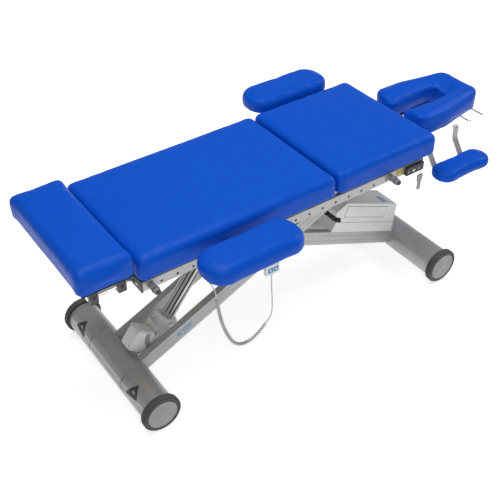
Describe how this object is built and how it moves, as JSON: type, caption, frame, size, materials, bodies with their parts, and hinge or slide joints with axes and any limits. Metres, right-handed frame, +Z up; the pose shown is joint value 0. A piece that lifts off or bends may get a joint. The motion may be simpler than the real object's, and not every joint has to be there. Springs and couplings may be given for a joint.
{
  "type": "medical exam table",
  "caption": "Height-adjustable treatment table: padded sections on a scissor lift with round feet, armrests, forearm pads, a face-slot head section and a corded handset.",
  "frame": {"origin": "on the floor under the middle of the table's length and width", "axes": "+X towards the head end, +Y towards the far side, +Z up"},
  "size_m": [1.962, 0.944, 0.796],
  "materials": {
    "vinyl": "soft upholstery vinyl, satin",
    "grey_paint": "satin powder coat",
    "bearing_steel": "machined",
    "black_plastic": "matt",
    "grey_plastic": "satin",
    "light_plastic": "satin",
    "rubber": "matt",
    "extrusion": "anodised",
    "chrome": "polished",
    "plywood": "raw birch",
    "cord_grey": "satin",
    "blue_key": "satin"
  },
  "bodies": {
    "foot_base": {"foot_beam": "grey_paint", "transport_sockets": "black_plastic", "foot_rings": "rubber", "foot_end_discs": "grey_plastic"},
    "outer_levers": {"foot_sleeve": "grey_paint", "outer_arms": "grey_paint", "track_rollers": "bearing_steel", "actuator_bracket": "grey_paint", "actuator_motor": "light_plastic", "actuator_collar": "light_plastic", "actuator_column": "extrusion"},
    "actuator_ram": {"actuator_rod": "chrome"},
    "inner_levers": {"head_sleeve": "grey_paint", "inner_arms": "grey_paint", "centre_axle": "bearing_steel", "inner_arm_tie": "grey_paint", "control_box_base": "light_plastic", "control_box_cover": "light_plastic", "control_box_plugs": "black_plastic"},
    "head_base": {"head_beam": "grey_paint", "head_rings": "rubber", "head_end_discs": "grey_plastic"},
    "upper_frame": {"side_rails": "grey_paint", "crossbars": "grey_paint", "frame_end_plates": "black_plastic", "lift_pivot": "bearing_steel", "roller_tracks": "grey_paint", "head_hinge": "grey_paint", "lock_box": "black_plastic", "cord_strain_reliefs": "light_plastic", "handset_shell": "light_plastic", "cord_lower_lead": "cord_grey", "cord_coil": "cord_grey", "cord_upper_lead": "cord_grey"},
    "pelvic_section": {"pelvic_cushion": "vinyl", "pelvic_board": "plywood"},
    "thorax_section": {"thorax_cushion": "vinyl", "thorax_board": "plywood"},
    "foot_section": {"foot_cushion": "vinyl", "foot_board": "plywood", "foot_clamps": "black_plastic", "foot_slide_rods": "chrome"},
    "head_section": {"head_cushion": "vinyl", "head_frame": "grey_paint"},
    "release_handle": {"release_loop": "chrome"},
    "near_forearm_rest": {"near_forearm_pad": "vinyl", "near_forearm_bars": "grey_paint"},
    "far_forearm_rest": {"far_forearm_pad": "vinyl", "far_forearm_bars": "grey_paint"},
    "near_armrest_slider": {"near_armrest_carriage": "black_plastic"},
    "near_armrest": {"near_armrest_pad": "vinyl", "near_armrest_post": "grey_paint"},
    "far_armrest_slider": {"far_armrest_carriage": "black_plastic"},
    "far_armrest": {"far_armrest_pad": "vinyl", "far_armrest_post": "grey_paint"},
    "pelvic_knob": {"pelvic_drop_knob": "grey_plastic"},
    "thorax_knob": {"thorax_drop_knob": "grey_plastic"},
    "hanging_key": {"lock_key": "chrome"},
    "up_button": {"raise_key": "blue_key"},
    "down_button": {"lower_key": "blue_key"}
  },
  "joints": [
    {"name": "lift_angle", "type": "hinge", "parent": "foot_base", "child": "outer_levers", "pos_m": [-0.7715, 0, 0.078], "axis": [0, -1, 0], "range_deg": [-11.5, 9.5]},
    {"name": "arm_crossing", "type": "hinge", "parent": "outer_levers", "child": "inner_levers", "pos_m": [-0.063, 0, 0.38606], "axis": [0, 1, 0], "range_deg": [-24, 20]},
    {"name": "top_pivot", "type": "hinge", "parent": "inner_levers", "child": "upper_frame", "pos_m": [-0.52052, 0, 0.585], "axis": [0, -1, 0], "range_deg": [-12.5, 10.5]},
    {"name": "head_foot_pivot", "type": "hinge", "parent": "inner_levers", "child": "head_base", "pos_m": [0.6455, 0, 0.078], "axis": [0, -1, 0], "range_deg": [-12.5, 10.5]},
    {"name": "actuator_stroke", "type": "slide", "parent": "outer_levers", "child": "actuator_ram", "axis": [0.6225, 0, 0.7826], "range_m": [-0.1109, 0.0921]},
    {"name": "pelvic_drop", "type": "hinge", "parent": "upper_frame", "child": "pelvic_section", "pos_m": [0.059, 0, 0.659], "axis": [0, 1, 0], "range_deg": [0, 1.4]},
    {"name": "thorax_drop", "type": "hinge", "parent": "upper_frame", "child": "thorax_section", "pos_m": [0.066, 0, 0.659], "axis": [0, -1, 0], "range_deg": [0, 1.6]},
    {"name": "foot_extension", "type": "slide", "parent": "upper_frame", "child": "foot_section", "axis": [-1, 0, 0], "range_m": [0, 0.12]},
    {"name": "head_tilt", "type": "hinge", "parent": "upper_frame", "child": "head_section", "pos_m": [0.575, 0, 0.672], "axis": [0, -1, 0], "range_deg": [-20, 25]},
    {"name": "release_pull", "type": "slide", "parent": "head_section", "child": "release_handle", "axis": [0, -1, 0], "range_m": [0, 0.01], "stiffness_N_per_m": 900},
    {"name": "near_forearm_height", "type": "slide", "parent": "head_section", "child": "near_forearm_rest", "axis": [0, 0, 1], "range_m": [-0.03, 0]},
    {"name": "far_forearm_height", "type": "slide", "parent": "head_section", "child": "far_forearm_rest", "axis": [0, 0, 1], "range_m": [-0.03, 0]},
    {"name": "near_armrest_travel", "type": "slide", "parent": "upper_frame", "child": "near_armrest_slider", "axis": [1, 0, 0], "range_m": [-0.055, 0.055]},
    {"name": "near_armrest_height", "type": "slide", "parent": "near_armrest_slider", "child": "near_armrest", "axis": [0, 0, 1], "range_m": [-0.015, 0.06]},
    {"name": "far_armrest_travel", "type": "slide", "parent": "upper_frame", "child": "far_armrest_slider", "axis": [1, 0, 0], "range_m": [-0.36, 0.1]},
    {"name": "far_armrest_height", "type": "slide", "parent": "far_armrest_slider", "child": "far_armrest", "axis": [0, 0, 1], "range_m": [-0.03, 0.06]},
    {"name": "pelvic_knob_turn", "type": "hinge", "parent": "upper_frame", "child": "pelvic_knob", "pos_m": [-0.726, -0.29, 0.64], "axis": [0, -1, 0], "range_deg": [-180, 180]},
    {"name": "thorax_knob_turn", "type": "hinge", "parent": "upper_frame", "child": "thorax_knob", "pos_m": [0.333, -0.29, 0.64], "axis": [0, -1, 0], "range_deg": [-180, 180]},
    {"name": "key_swing", "type": "hinge", "parent": "upper_frame", "child": "hanging_key", "pos_m": [0.492, -0.2705, 0.6175], "axis": [0, 1, 0], "range_deg": [-25, 25]},
    {"name": "up_button_press", "type": "slide", "parent": "upper_frame", "child": "up_button", "axis": [0, 1, 0], "range_m": [0, 0.001], "stiffness_N_per_m": 1500},
    {"name": "down_button_press", "type": "slide", "parent": "upper_frame", "child": "down_button", "axis": [0, 1, 0], "range_m": [0, 0.001], "stiffness_N_per_m": 1500}
  ],
  "couplings": [
    {"joint": "arm_crossing", "follows": "lift_angle", "ratio": 2},
    {"joint": "top_pivot", "follows": "lift_angle", "ratio": 1},
    {"joint": "head_foot_pivot", "follows": "lift_angle", "ratio": 1},
    {"joint": "actuator_stroke", "follows": "lift_angle", "m_per_rad": 0.5375}
  ]
}
